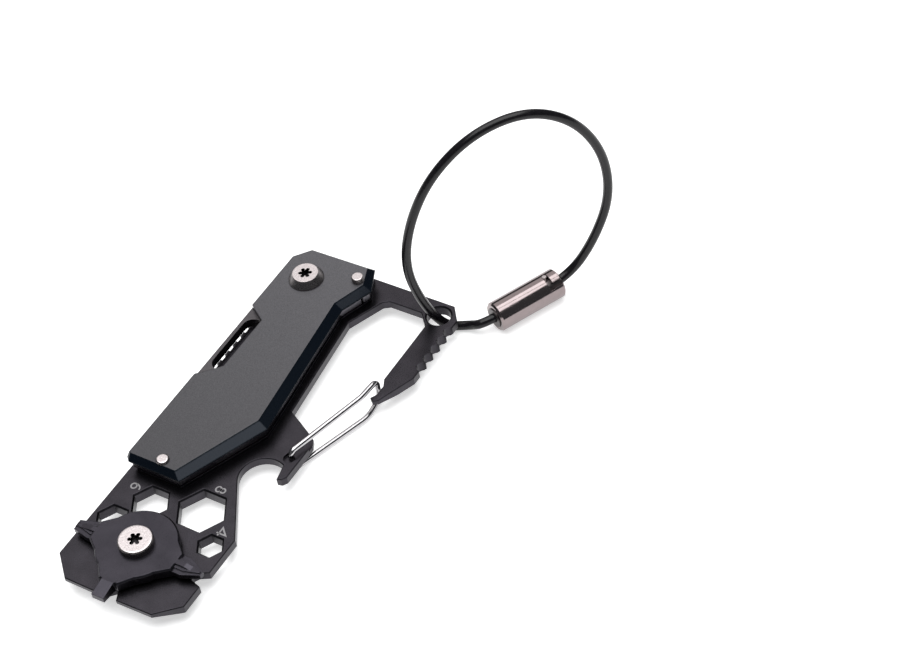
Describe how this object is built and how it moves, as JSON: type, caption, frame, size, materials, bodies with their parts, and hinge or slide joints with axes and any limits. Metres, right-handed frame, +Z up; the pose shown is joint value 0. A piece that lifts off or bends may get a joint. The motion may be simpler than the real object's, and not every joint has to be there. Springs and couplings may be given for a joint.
{
  "type": "key organiser",
  "caption": "Flat pocket key organiser: carabiner plate with pry bar, hex wrenches, bottle opener, folding knife, screwdriver wheel, wire gate and a cable key ring.",
  "frame": {"origin": "centre of the tool's footprint, without the cable ring, on the table it stands on", "axes": "+X along the tool from the pry bar to the cable eye, +Y towards the side the blade opens from, +Z up through the cover"},
  "size_m": [0.1099, 0.0555, 0.0468],
  "materials": {
    "plate_black": "black oxide, fine satin",
    "cover_anthracite": "fine-grained matt anthracite with gloss bevels",
    "liner_dark": "satin black",
    "blade_steel": "dark stonewashed",
    "spring_steel": "dark satin",
    "bronze": "smooth",
    "screw_steel": "satin stainless",
    "barrel_steel": "satin stainless",
    "wheel_black": "black oxide, satin",
    "gate_wire": "polished stainless",
    "cable_black": "black nylon coating over steel strand",
    "clasp_gunmetal": "polished gunmetal",
    "ferrule_steel": "satin stainless"
  },
  "bodies": {
    "handle": {"carabiner_plate": "plate_black", "knife_liner": "liner_dark", "back_spring": "spring_steel", "front_spacer": "barrel_steel", "cover_scale": "cover_anthracite", "lower_blade_washer": "bronze", "upper_blade_washer": "bronze", "pivot_barrel": "barrel_steel", "pivot_screw": "screw_steel", "front_pin": "screw_steel", "rear_rivet": "screw_steel", "wheel_washer": "bronze", "wheel_barrel": "barrel_steel", "wheel_screw": "screw_steel"},
    "blade": {"knife_blade": "blade_steel"},
    "wheel": {"bit_wheel": "wheel_black"},
    "gate": {"wire_gate": "gate_wire"},
    "ring": {"ring_cable": "cable_black", "fixed_ferrule": "ferrule_steel", "bayonet_ferrule": "ferrule_steel", "bayonet_pin": "ferrule_steel"},
    "sleeve": {"clasp_sleeve": "clasp_gunmetal"}
  },
  "joints": [
    {"name": "blade_fold", "type": "hinge", "parent": "handle", "child": "blade", "pos_m": [0.0348, 0.0116, 0.006], "axis": [0, 0, -1], "range_deg": [0, 175]},
    {"name": "wheel_spin", "type": "hinge", "parent": "handle", "child": "wheel", "pos_m": [-0.0303, 0.0047, 0.0055], "axis": [0, 0, 1], "continuous": true},
    {"name": "gate_swing", "type": "hinge", "parent": "handle", "child": "gate", "pos_m": [-0.0007, -0.0076, 0.0031], "axis": [0, 0, 1], "range_deg": [0, 30], "stiffness_Nm_per_rad": 0.02, "springref_deg": -20.05},
    {"name": "ring_swivel", "type": "hinge", "parent": "handle", "child": "ring", "pos_m": [0.04, -0.0139, 0.0031], "axis": [0, 0, 1], "range_deg": [-45, 45]},
    {"name": "clasp_twist", "type": "hinge", "parent": "ring", "child": "sleeve", "pos_m": [0.0448, -0.0231, 0.003], "axis": [-0.9013, 0.4332, 0], "range_deg": [0, 52]}
  ]
}
